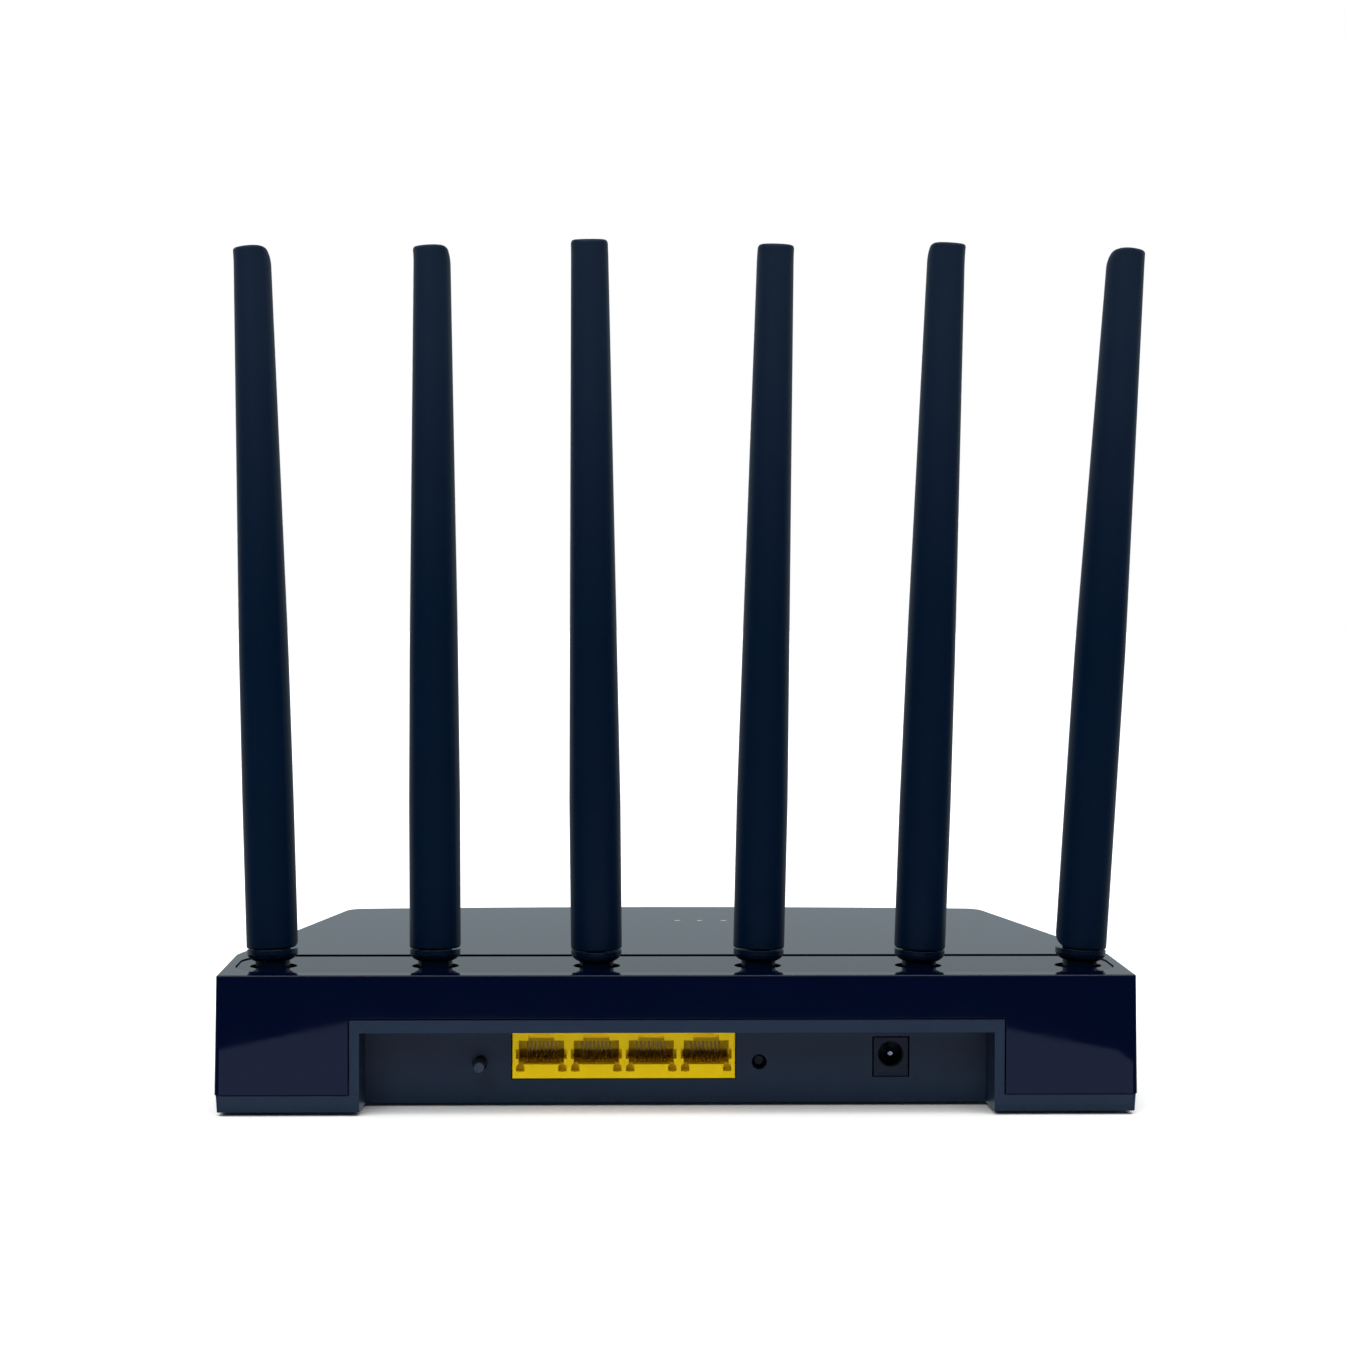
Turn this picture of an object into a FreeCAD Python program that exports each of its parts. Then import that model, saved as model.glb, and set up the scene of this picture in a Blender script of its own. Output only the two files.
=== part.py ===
import FreeCAD, Part
import math
import os

# Six-antenna wireless router. Millimetres, +Z up, ports face -Y.
# The origin is under the body's middle, on the surface that the feet stand on.

V = FreeCAD.Vector

# Body
body_w = 230.0          # width at the rear
body_d = 145.0          # rear face to the middle of the bowed front edge
body_h = 34.3           # shell underside to top face, without the feet
foot_proud = 1.0        # how far the rubber feet lift the shell
front_w = 188.0         # width between the front corners
straight_side = 39.5    # rear face to where the sides start to taper
front_bow = 4.5         # rise of the bowed front edge
side_flare = 0.5        # how much wider the cover is at its lower edge
foot_tuck = 0.05        # how far the shell pulls in at the bottom
shell_in = 0.3          # how far its upper edge stays inside the cover's
rear_corner_r = 0.7
knee_r = 7.0
front_corner_r = 6.0
top_edge_r = 0.5
wall = 2.0
top_plate = 2.6
floor_t = 2.0
seam_up = 4.2           # shell underside to the cover's lower edge
seam_gap = 0.2
window_gap = 0.3        # cover's opening to the port frame
lip_t = 1.2             # shell's lip inside the cover
lip_h = 3.0
lip_play = 0.12
post_cap = 3.0          # cover's screw bores end this far below its top plate

# Recessed port panel
foot_block_w = 33.0     # body side to the cover's opening for the ports
frame_side = 2.5        # satin frame beside the recess
frame_top = 3.3
frame_rise = 23.1       # shell underside to the frame's top
recess_d = 12.7
recess_draft = 0.5
panel_t = 2.0

# Antenna strip in the top face
strip_edge = 3.0        # strip end to body side
strip_back = 5.3        # rear face to strip
strip_front = 38.6
strip_r = 12.0
strip_t = 1.4           # depth of the strip's pocket
strip_sunk = 0.3        # top face to the strip's face
strip_gap = 0.3

# Antennas
antenna_count = 6
antenna_side_in = 11.75  # body side to the end antenna's axis
antenna_back = 19.6     # rear face to antenna axis
antenna_off = 0.35      # middle of the row to the right of the body's middle
antenna_rise = 184.15   # top face to tip
neck_r = 4.4
ball_over = 1.2         # how much larger the ball is than the neck
ball_drop = 7.0         # top face to ball centre
ball_foot = 3.2         # ball centre to its flat foot
ball_play = 0.3
neck_rise = 1.1
bowl_rise = 1.7
collar_r = 6.45
collar_rise = 1.3
collar_edge_r = 0.15
strip_hole_play = 1.6   # neck to the edge of its hole
barrel_r = 6.55
barrel_foot_r = 0.5
pin_above_collar = 7.6
hinge_gap = 0.25
tongue_t = 5.0
tongue_play = 0.2
tongue_half = 4.0
tongue_gap = 0.4
pin_r = 1.5
pin_fit = 0.05
pin_cover = 1.0         # sleeve's wall over the ends of the pin
width_taper_up = 41.8   # top face to where the sleeve starts to narrow
depth_taper_up = 80.8   # top face to where it starts to thin
tip_half_w = 4.66
tip_half_d = 4.8
tip_front_w = 4.2       # rounded front corner of the tip
tip_front_h = 5.0
tip_edge_r = 0.9
tip_rings = 8
radiator_w = 5.2
radiator_t = 1.0
radiator_room = 0.2
radiator_up = 4.0       # tongue to the foot of the radiator
radiator_stop = 20.0    # tip to the top of the radiator's slot
lead_bore_r = 1.2
# how each antenna is set, left to right: degrees of lean to the right and to the front,
# and degrees of turn about its own axis
antenna_set = [(-1.93, 3.33, -40.0), (-0.41, 2.65, -32.0), (-0.65, -2.25, -5.0),
               (1.21, 0.78, 5.0), (1.72, -1.18, 28.0), (3.54, 1.27, 58.0)]

# Antenna seats under the cover
seat_wall = 1.7
seat_ear_x = 6.6        # screw beside the antenna axis
seat_ear_y = 7.2        # and in front of it
seat_ear_r = 2.4
seat_open_play = 0.78   # neck to the seat's mouth
retainer_below = 0.4    # ball's foot to the retainer's underside
seat_split = 0.15
seat_screw_r = 1.0
seat_head_r = 1.9
seat_head_t = 1.2
seat_screw_short = 1.5  # seat's top to the screw's end

# Main board
board_rise = 4.6        # shell underside to board underside
board_t = 1.6
board_side_in = 27.0    # body side to board
board_back_gap = 0.6    # panel's inner face to board
board_front = 27.0      # board's front edge to the front of the body
standoff_r = 3.2
board_screw_r = 1.2
board_head_r = 2.4
board_head_t = 1.4
board_cross = 0.3       # half the width of the cross recess
board_screw_in = 10.0   # board's side to its screws
board_screw_back = 20.0
board_screw_front = 9.0

# Case screws and feet
boss_r = 4.0
screw_r = 1.4
screw_head_r = 2.7
screw_head_t = 2.0
screw_sunk = 1.2        # shell underside to the screw heads
screw_rear_in = (25.0, 10.0)    # body side and rear face to the rear screws
screw_front_in = (28.0, 18.5)   # front corner and front to the front screws
foot_r = 6.5
foot_t = 1.8
foot_rear_in = (12.0, 11.5)
foot_front_in = (12.5, 19.0)
boss_split = 12.0       # shell underside to where boss and post meet

# What stands on the board, sizes as width, depth, height
chip_row = 52.0         # board's rear edge to the row of main chips
processor_size = (17.0, 17.0, 1.4)
pad_w = 16.0
pad_t = 0.6
sink_w = 25.0
sink_base_t = 1.8
sink_h = 8.0
fin_count = 7
fin_t = 1.2
memory_size = (9.0, 13.0, 1.1)
memory_at = (22.0, 4.0)     # from the processor's middle
flash_size = (8.0, 6.0, 1.1)
flash_at = (-21.0, -4.0)
radio_x = 52.0          # middle to each radio's shield can
radio_chip_size = (9.0, 9.0, 1.0)
can_size = (30.0, 24.0, 2.6)
can_t = 0.3
magnetics_size = (18.0, 10.0, 4.6)
magnetics_behind = 12.0     # LAN block's back to the middle of the magnetics
capacitor_r = 4.0
capacitor_h = 11.5
small_capacitor_r = 3.1
small_capacitor_h = 9.0
capacitor_by_jack = 12.0    # power socket's middle to the large capacitors
small_by_jack = 22.0
inductor_by_jack = 3.0
inductor_w = 7.0
inductor_h = 3.2
crystal_size = (10.0, 4.4, 3.4)
crystal_at = (-26.0, 10.0)

# LAN sockets
lan_ports = 4
lan_pitch = 13.97
lan_x = -13.4
lan_side = 7.35         # end socket's middle to the block's side
lan_h = 11.9
lan_d = 21.5
lan_proud = 0.4
lan_gap = 0.25
port_w = 11.5
port_low = 3.6          # socket block's underside to the mouth
port_high = 9.7
port_deep = 15.0
shoulder_w = 12.9
shoulder_low = 5.0
shoulder_high = 7.5
shoulder_deep = 6.0
latch_w = 6.6
latch_high = 11.0
latch_deep = 4.5
latch_slot_w = 4.1
latch_slot_deep = 4.5
latch_roof = 0.25       # housing's top above the latch slot
arch_w = 2.1
arch_low = 1.8
arch_high = 3.8
arch_side = 5.35
arch_deep = 3.0
contact_count = 8
contact_pitch = 1.02
contact_w = 0.42
contact_t = 0.3
carrier_front = 9.2
contact_front = 3.0
comb_low = 6.0
comb_high = 8.0         # top of the comb's grooves
comb_out = 2.4          # comb in front of the carrier's foot
comb_groove = 2.0
comb_play = 0.06
contact_in = 1.3        # comb's front to a contact's upright
contact_short = 0.2     # its end below the top of its groove
contact_high = 4.9      # where a contact turns up into the comb

# Power socket
jack_x = 54.7
jack_z = 12.2           # hole centre above the shell underside
jack_w = 8.7
jack_low = 6.6
jack_high = 16.4
jack_d = 14.0
jack_gap = 0.38
jack_back = 0.35
jack_hole_r = 2.95
jack_hole_d = 10.5
jack_pin_r = 0.9
jack_pin_short = 1.2
jack_end = 1.0          # wall behind the pin
jack_mouth = 0.35
groove_w = 2.6
groove_sunk = 0.45
spring_w = 2.2

# Push button and reset
button_beside = 8.2     # LAN block's side to the button
button_z = 10.2
button_hole_r = 1.93
button_r = 1.35
button_out = 7.6
button_flange_r = 3.0
button_flange_t = 1.2
button_in = 4.0         # panel's inner face to the stem's end
flange_play = 0.3
switch_play = 0.4       # full press to the switch
button_stroke = 0.8
reset_beside = 6.2      # LAN block's side to the reset hole
reset_z = 10.3
reset_hole_r = 1.9
reset_cap_r = 1.3
reset_stroke = 0.4
reset_sunk = 0.7
reset_cap_out = 1.4     # cap in front of its switch
reset_cap_in = 1.0
switch_w = 6.2
switch_d = 4.6
switch_room = 0.3
bore_room = 0.3         # behind a pressed stem

# Indicator lights
light_x = [2.9, 9.4, 16.3]
light_front = 33.7        # lights to the front of the body
light_w = 1.8
light_d = 1.6
light_fit = 0.05
light_collar = (4.4, 2.8, 1.0)
light_stem = (1.8, 0.9)
light_over = 1.4        # board to the foot of a light pipe
lamp_size = (1.6, 0.8, 0.8)
guide_edge = 3.2        # end light to the end of the bracket
guide_d = 5.2
guide_h = 5.0
guide_play = 0.1

# Cooling slots in the floor
vent_w = 2.0
vent_l = 26.0
vent_pitch = 6.0
vent_cols = 13
vent_rows = 2
vent_row_gap = 8.0
vent_back = 22.0        # board's rear edge to the first row

# Antenna leads
lead_r = 0.6
lead_bend_r = 2.4
lead_up = 1.5           # lead's end below the ball's centre
lead_drop = 3.2         # retainer's underside to the lead
lead_side = 9.5         # antenna axis to the innermost lead's run
lead_step = 1.8
plug_inner = 14.0       # shield can's middle to its innermost plug
plug_step = 6.5
plug_back = 37.0        # board's rear edge to the plugs
plug_r = 1.5
plug_neck_r = 1.0
plug_rise = 0.7         # board to the wide part of a plug
plug_h = 1.2
socket_r = 1.3
socket_h = 0.4

# Derived
y_rear = -body_d / 2
y_front = body_d / 2
z_shell = foot_proud
z_seam = z_shell + seam_up
z_top = z_shell + body_h
z_under = z_top - top_plate
opening_half = body_w / 2 - foot_block_w
recess_half = opening_half - frame_side
z_frame = z_shell + frame_rise
y_panel = y_rear + recess_d
y_inside = y_panel + panel_t
y_antenna = y_rear + antenna_back
z_ball = z_top - ball_drop
z_floor = z_shell + floor_t
z_board = z_shell + board_rise
z_board_top = z_board + board_t
y_board_back = y_inside + board_back_gap
y_board_front = y_front - board_front
y_light = y_front - light_front
antenna_pitch = (body_w - 2 * antenna_side_in) / (antenna_count - 1)
ball_r = neck_r + ball_over
strip_hole_r = neck_r + strip_hole_play
seat_top = ball_drop - top_plate
seat_bore_r = ball_r + ball_play
seat_r = seat_bore_r + seat_wall - ball_play
seat_open_r = neck_r + seat_open_play
retainer_h = ball_foot + retainer_below
retainer_open_r = math.sqrt(ball_r ** 2 - ball_foot ** 2)
board_w = body_w - 2 * board_side_in
lan_w = (lan_ports - 1) * lan_pitch + 2 * lan_side
z_lan = z_board_top
y_lan = y_panel - lan_proud
button_x = lan_x - lan_w / 2 - button_beside
reset_x = lan_x + lan_w / 2 + reset_beside
pin_z = ball_drop + neck_rise + bowl_rise + collar_rise + pin_above_collar
collar_top = pin_z - pin_above_collar
tip_z = ball_drop + antenna_rise


def box(x0, x1, y0, y1, z0, z1):
    return Part.makeBox(x1 - x0, y1 - y0, z1 - z0, V(x0, y0, z0))


def rod(r, x, y, z0, z1):
    return Part.makeCylinder(r, z1 - z0, V(x, y, z0))


def rod_y(r, x, z, y0, y1):
    return Part.makeCylinder(r, y1 - y0, V(x, y0, z), V(0, 1, 0))


def rod_x(r, y, z, x0, x1):
    return Part.makeCylinder(r, x1 - x0, V(x0, y, z), V(1, 0, 0))


def fuse(shapes):
    return shapes[0].multiFuse(shapes[1:]).removeSplitter()


def cut(shape, tools):
    return shape.cut(Part.makeCompound(tools))


def save(name, shapes):
    os.makedirs("parts", exist_ok=True)
    solids = [s for shape in shapes for s in shape.Solids]
    shape = solids[0] if len(solids) == 1 else Part.makeCompound(solids)
    shape.exportStep("parts/" + name + ".step")


def inset_polygon(points, t):
    """Corner points moved inwards so that each side shifts by t. Points run anticlockwise."""
    out = []
    for i, p in enumerate(points):
        a = points[i - 1]
        b = points[(i + 1) % len(points)]
        d1 = V(p.x - a.x, p.y - a.y, 0).normalize()
        d2 = V(b.x - p.x, b.y - p.y, 0).normalize()
        n1 = V(-d1.y, d1.x, 0)
        n2 = V(-d2.y, d2.x, 0)
        k = t / (1 + n1.dot(n2))
        out.append(V(p.x + k * (n1.x + n2.x), p.y + k * (n1.y + n2.y), 0))
    return out


def corner_arc(a, p, b, r):
    """Tangent points and middle of the arc of radius r that rounds the corner a-p-b."""
    u = (a - p).normalize()
    w = (b - p).normalize()
    half = math.acos(max(-1.0, min(1.0, u.dot(w)))) / 2
    reach = r / math.tan(half)
    middle = p + (u + w).normalize() * (r / math.sin(half) - r)
    return p + u * reach, middle, p + w * reach


def outline(inset, z):
    """The body's plan at height z: square rear, parallel sides, taper, bowed front."""
    w = body_w / 2
    f = front_w / 2
    knee = y_rear + straight_side
    yf = y_front - front_bow
    points = [V(-w, y_rear, 0), V(w, y_rear, 0), V(w, knee, 0), V(f, yf, 0),
              V(0, yf + 2 * front_bow, 0), V(-f, yf, 0), V(-w, knee, 0)]
    points = inset_polygon(points, inset)
    radii = [rear_corner_r, rear_corner_r, knee_r, front_corner_r,
             None, front_corner_r, knee_r]
    apex = V(0, (points[3].y + points[4].y) / 2, 0)
    edges = []
    ends = []
    for i, r in enumerate(radii):
        if r is None:
            ends.append(None)
            continue
        arc = corner_arc(points[i - 1], points[i], points[(i + 1) % 7],
                         max(r - inset, 0.4))
        ends.append(arc)
    for i in range(7):
        here = ends[i]
        after = ends[(i + 1) % 7]
        if here is None:
            continue
        edges.append(Part.Arc(here[0], here[1], here[2]).toShape())
        if after is None:
            edges.append(Part.Arc(here[2], apex, ends[5][0]).toShape())
        else:
            edges.append(Part.makeLine(here[2], after[0]))
    wire = Part.Wire(edges)
    wire.translate(V(0, 0, z))
    return wire


def plan_loft(sections):
    """Solid through the body's plan, given as (inset, height) pairs."""
    return Part.makeLoft([outline(t, z) for t, z in sections], True, True)


def rounded_box(x0, x1, y0, y1, z0, z1, r):
    b = box(x0, x1, y0, y1, z0, z1)
    upright = [e for e in b.Edges
               if abs(e.Vertexes[0].X - e.Vertexes[1].X) < 1e-6
               and abs(e.Vertexes[0].Y - e.Vertexes[1].Y) < 1e-6]
    return b.makeFillet(r, upright)


def soften_top(solid, z, r):
    rim = [e for e in solid.Edges
           if abs(e.BoundBox.ZMin - z) < 1e-5 and abs(e.BoundBox.ZMax - z) < 1e-5]
    return solid.makeFillet(r, rim)


def antenna_xs():
    first = antenna_off - (antenna_count - 1) / 2 * antenna_pitch
    return [first + i * antenna_pitch for i in range(antenna_count)]


def four_spots(rear_in, front_in):
    """Two spots near the rear corners and two near the front ones."""
    rx = body_w / 2 - rear_in[0]
    ry = y_rear + rear_in[1]
    fx = front_w / 2 - front_in[0]
    fy = y_front - front_in[1]
    return [(-rx, ry), (rx, ry), (fx, fy), (-fx, fy)]


def screw_spots():
    return four_spots(screw_rear_in, screw_front_in)


def foot_spots():
    return four_spots(foot_rear_in, foot_front_in)


def board_spots():
    """Where a board screw and its standoff stand."""
    x = board_w / 2 - board_screw_in
    rows = (y_board_back + board_screw_back, y_board_front - board_screw_front)
    return [(side * x, y) for y in rows for side in (-1, 1)]


# ---- case ----

def strip_plan(gap, z0, z1):
    half = body_w / 2 - strip_edge + gap
    return rounded_box(-half, half, y_rear + strip_back - gap, y_rear + strip_front + gap,
                       z0, z1, strip_r + gap)


def light_slots(grow, z0, z1):
    w = light_w / 2 + grow
    d = light_d / 2 + grow
    return [rounded_box(x - w, x + w, y_light - d, y_light + d, z0, z1, d * 0.95)
            for x in light_x]


def top_cover():
    low = z_seam + seam_gap
    outer = plan_loft([(-side_flare, low), (0, z_top)])
    outer = soften_top(outer, z_top, top_edge_r)
    inner = plan_loft([(wall - side_flare, low - 1), (wall, z_under)])
    window = box(-opening_half - window_gap, opening_half + window_gap,
                 y_rear - 3, y_rear + wall + 2, low - 1, z_frame + window_gap)
    holes = [rod(strip_hole_r, x, y_antenna, z_under - 1, z_top + 1) for x in antenna_xs()]
    shell = cut(outer, [inner])
    shell = cut(shell, [window, strip_plan(strip_gap, z_top - strip_t, z_top + 1)])
    shell = cut(shell, holes + light_slots(light_fit, z_under - 1, z_top + 1))
    posts = [rod(boss_r, x, y, z_shell + boss_split, z_under) for x, y in screw_spots()]
    shell = fuse([shell] + posts)
    bores = [rod(screw_r, x, y, z_shell, z_under - post_cap) for x, y in screw_spots()]
    return cut(shell, bores)


def antenna_strip():
    strip = strip_plan(0, z_top - strip_t, z_top - strip_sunk)
    return cut(strip, [rod(strip_hole_r, x, y_antenna, z_top - strip_t - 1, z_top + 1)
                       for x in antenna_xs()])


def recess_cutter():
    a = recess_half
    b = recess_half - recess_draft
    y0 = y_rear - 4
    flare = recess_draft * 4 / recess_d
    z1 = z_frame - frame_top
    pts = [V(-a - flare, y0, 0), V(a + flare, y0, 0), V(b, y_panel, 0), V(-b, y_panel, 0)]
    face = Part.Face(Part.makePolygon(pts + [pts[0]]))
    return face.extrude(V(0, 0, z1))


def panel_holes():
    x0 = lan_x - lan_w / 2 - lan_gap
    x1 = lan_x + lan_w / 2 + lan_gap
    y0 = y_panel - 1
    y1 = y_inside + 1
    zs = z_shell
    j = jack_w / 2 + jack_gap
    return [
        box(x0, x1, y0, y1, z_lan - lan_gap, z_lan + lan_h + lan_gap),
        box(jack_x - j, jack_x + j, y0, y1, zs + jack_low - jack_gap / 2,
            zs + jack_high + jack_gap),
        rod_y(button_hole_r, button_x, zs + button_z, y0, y1),
        rod_y(reset_hole_r, reset_x, zs + reset_z, y0, y1),
    ]


def floor_vents():
    slots = []
    pitch_y = vent_l + vent_row_gap
    y0 = y_board_back + vent_back
    for row in range(vent_rows):
        for col in range(vent_cols):
            x = (col - (vent_cols - 1) / 2) * vent_pitch
            y = y0 + row * pitch_y
            slots.append(rounded_box(x - vent_w / 2, x + vent_w / 2, y, y + vent_l,
                                     z_shell - 1, z_floor + 1, vent_w * 0.45))
    return slots


def bottom_shell():
    tray = plan_loft([(foot_tuck, z_shell), (shell_in - side_flare, z_seam)])
    rim_out = wall - side_flare + lip_play
    rim = plan_loft([(rim_out, z_floor), (rim_out, z_seam + lip_h)])
    rim_in = rim_out + lip_t
    hollow = plan_loft([(rim_in, z_floor), (rim_in, z_seam + lip_h + 1)])
    tray = fuse([tray, rim])
    tray = cut(tray, [hollow])
    o = opening_half
    frame = box(-o, o, y_rear, y_inside, z_shell, z_frame)
    corners = [e for e in frame.Edges if abs(e.BoundBox.YMax - y_rear) < 1e-6
               and abs(e.BoundBox.ZMin - e.BoundBox.ZMax) < 1e-6
               and e.BoundBox.ZMin > z_seam]
    frame = frame.makeFillet(0.3, corners)
    frame = cut(frame, [recess_cutter()])
    tray = cut(tray, [recess_cutter()])
    shell = fuse([tray, frame])
    bosses = [rod(boss_r, x, y, z_shell, z_shell + boss_split) for x, y in screw_spots()]
    standoffs = [rod(standoff_r, x, y, z_shell, z_board) for x, y in board_spots()]
    shell = fuse([shell] + bosses + standoffs)
    tools = panel_holes() + floor_vents()
    for x, y in screw_spots():
        tools.append(rod(screw_r + 0.2, x, y, z_shell - 1, z_shell + boss_split + 1))
        tools.append(rod(screw_head_r + 0.2, x, y, z_shell - 1,
                         z_shell + screw_sunk + screw_head_t))
    for x, y in foot_spots():
        tools.append(rod(foot_r, x, y, z_shell - 1, z_shell + foot_t - foot_proud))
    for x, y in board_spots():
        tools.append(rod(board_screw_r, x, y, z_floor, z_board + 1))
    return cut(shell, tools)


def rubber_feet():
    feet = []
    for x, y in foot_spots():
        pad = rod(foot_r, x, y, 0, foot_t)
        pad = pad.makeFillet(0.5, [e for e in pad.Edges if e.BoundBox.ZMax < 1e-6])
        feet.append(pad)
    return feet


def screw(r, head_r, head_t, x, y, z_head, length):
    """A pan-head screw pointing up, its cross recess facing down."""
    body = fuse([rod(head_r, x, y, z_head, z_head + head_t),
                 rod(r, x, y, z_head + head_t, z_head + head_t + length)])
    arm = head_r * 0.6
    slot = head_r * 0.14
    z1 = z_head + head_t * 0.6
    return cut(body, [box(x - arm, x + arm, y - slot, y + slot, z_head - 1, z1),
                      box(x - slot, x + slot, y - arm, y + arm, z_head - 1, z1)])


def case_screws():
    z = z_shell + screw_sunk
    reach = z_under - post_cap - z - screw_head_t
    return [screw(screw_r, screw_head_r, screw_head_t, x, y, z, reach * 0.8)
            for x, y in screw_spots()]


# ---- antennas ----

def antenna_place(i):
    """Placement from an antenna's own frame, ball centre at the origin, to the router."""
    right, forward, turn = antenna_set[i]
    way = FreeCAD.Rotation(V(0, 1, 0), right)
    way = way.multiply(FreeCAD.Rotation(V(1, 0, 0), -forward))
    way = way.multiply(FreeCAD.Rotation(V(0, 0, 1), turn))
    return FreeCAD.Placement(V(antenna_xs()[i], y_antenna, z_ball), way)


def placed(shape, i):
    out = shape.copy()
    out.Placement = antenna_place(i)
    return out


def turned(points_and_arcs):
    """Solid of revolution about Z from a closed profile of edges in the XZ plane."""
    face = Part.Face(Part.Wire(points_and_arcs))
    return face.revolve(V(0, 0, 0), V(0, 0, 1), 360)


def p(r, z):
    return V(r, 0, z)


def knuckle():
    cut_z = -ball_foot
    foot = math.sqrt(ball_r ** 2 - cut_z ** 2)
    join = math.sqrt(ball_r ** 2 - neck_r ** 2)
    z1 = ball_drop + neck_rise
    z2 = z1 + bowl_rise
    edge = collar_edge_r
    inner = edge * (1 - math.sqrt(0.5))
    bulge = p(neck_r + (collar_r - neck_r) * 0.62, z1 + bowl_rise * 0.38)
    edges = [
        Part.makeLine(p(0, cut_z), p(foot, cut_z)),
        Part.Arc(p(foot, cut_z), p(ball_r, 0), p(neck_r, join)).toShape(),
        Part.makeLine(p(neck_r, join), p(neck_r, z1)),
        Part.Arc(p(neck_r, z1), bulge, p(collar_r, z2)).toShape(),
        Part.makeLine(p(collar_r, z2), p(collar_r, collar_top - edge)),
        Part.Arc(p(collar_r, collar_top - edge), p(collar_r - inner, collar_top - inner),
                 p(collar_r - edge, collar_top)).toShape(),
        Part.makeLine(p(collar_r - edge, collar_top), p(0, collar_top)),
        Part.makeLine(p(0, collar_top), p(0, cut_z)),
    ]
    body = turned(edges)
    t = tongue_t / 2
    tongue = fuse([box(-t, t, -tongue_half, tongue_half, collar_top - 1, pin_z),
                   rod_x(tongue_half, 0, pin_z, -t, t)])
    body = fuse([body, tongue])
    return cut(body, [rod_x(pin_r + pin_fit, 0, pin_z, -t - 1, t + 1),
                      rod(lead_bore_r, 0, 0, cut_z - 1, collar_top)])


def oval(half_w, half_d, cy, z):
    """A closed curve across the sleeve, always starting at its +X end."""
    stretch = FreeCAD.Matrix()
    stretch.scale(half_w, half_d, 1.0)
    ring = Part.Wire([Part.makeCircle(1.0)]).transformGeometry(stretch)
    ring.translate(V(0, cy, z))
    return Part.Wire(ring.Edges)


def sleeve_half(z, taper_up, tip_half):
    """Half the sleeve's width or depth at height z, even down to the tip past its start."""
    start = ball_drop + taper_up
    share = max(0.0, (z - start) / (tip_z - start))
    return barrel_r + (tip_half - barrel_r) * share


def rounding(depth, across, tall):
    """How far a rounded edge draws in at this depth below the tip."""
    if depth >= tall:
        return 0.0
    return across * (1 - math.sqrt(1 - ((tall - depth) / tall) ** 2))


def sleeve_ring(z):
    depth = tip_z - z
    side = rounding(depth, tip_edge_r, tip_edge_r)
    front = rounding(depth, tip_front_w - tip_edge_r, tip_front_h)
    half_w = sleeve_half(z, width_taper_up, tip_half_w) - side
    half_d = sleeve_half(z, depth_taper_up, tip_half_d) - side - front / 2
    return oval(half_w, half_d, -front / 2, z)


def hinge_clearance():
    """What the blade's foot loses so that it can fold forward over its knuckle."""
    reach = barrel_r + 2
    sweep = pin_above_collar - hinge_gap
    front = box(-reach, reach, 0, reach, 0, pin_z)
    front = front.cut(rod_x(sweep, 0, pin_z, -reach, reach))
    s = tongue_t / 2 + tongue_play
    g = tongue_half + tongue_gap
    slot = fuse([box(-s, s, -g, reach, 0, pin_z),
                 box(-s, s, 0, reach, pin_z, pin_z + g),
                 rod_x(g, 0, pin_z, -s, s)])
    return [front, slot]


def blade():
    """Antenna sleeve, its hinge slot and the rounded corner of its tip towards +Y."""
    bottom = collar_top + hinge_gap
    start = ball_drop + width_taper_up
    thin = ball_drop + depth_taper_up
    barrel = rod(barrel_r, 0, 0, bottom, start)
    rim = [e for e in barrel.Edges if abs(e.BoundBox.ZMax - bottom) < 1e-6]
    barrel = barrel.makeFillet(barrel_foot_r, rim)
    heights = [start, thin, tip_z - tip_front_h]
    taper = Part.makeLoft([sleeve_ring(z) for z in heights], True, True)
    bends = [math.radians(90.0 * k / tip_rings) for k in range(tip_rings + 1)]
    heights = [tip_z - tip_front_h * (1 - math.sin(bend)) for bend in bends]
    cap = Part.makeLoft([sleeve_ring(z) for z in heights], True, False)
    body = fuse([barrel, taper, cap])
    w = radiator_w / 2
    d = (radiator_t + radiator_room * 2) / 2
    room = box(-w, w, -d, d, pin_z, tip_z - radiator_stop)
    half = barrel_r - pin_cover
    bore = rod_x(pin_r, 0, pin_z, -half, half)
    return cut(body, hinge_clearance() + [room, bore])


def hinge_pin():
    half = barrel_r - pin_cover
    return rod_x(pin_r, 0, pin_z, -half, half)


def radiator():
    w = radiator_w / 2
    return box(-w, w, -radiator_t / 2, radiator_t / 2,
               pin_z + tongue_half + radiator_up, tip_z - radiator_stop - 2)


def build_antennas():
    foot = knuckle()
    pin = hinge_pin()
    strip = radiator()
    sleeve = blade()
    for i in range(antenna_count):
        name = "antenna_" + str(i + 1)
        save(name + "_knuckle", [placed(foot, i)])
        save(name + "_blade", [placed(sleeve, i)])
        save(name + "_pin", [placed(pin, i)])
        save(name + "_radiator", [placed(strip, i)])


def seat_screw_spots(x):
    return [(x + s * seat_ear_x, y_antenna + seat_ear_y) for s in (-1, 1)]


def seat_blank(x, z0, z1):
    """A round seat with two screw ears in front of it."""
    ears = [rod(seat_ear_r, sx, sy, z0, z1) for sx, sy in seat_screw_spots(x)]
    bar = box(x - seat_ear_x, x + seat_ear_x, y_antenna, y_antenna + seat_ear_y + seat_ear_r,
              z0, z1)
    return fuse([rod(seat_r, x, y_antenna, z0, z1), bar] + ears)


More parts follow.
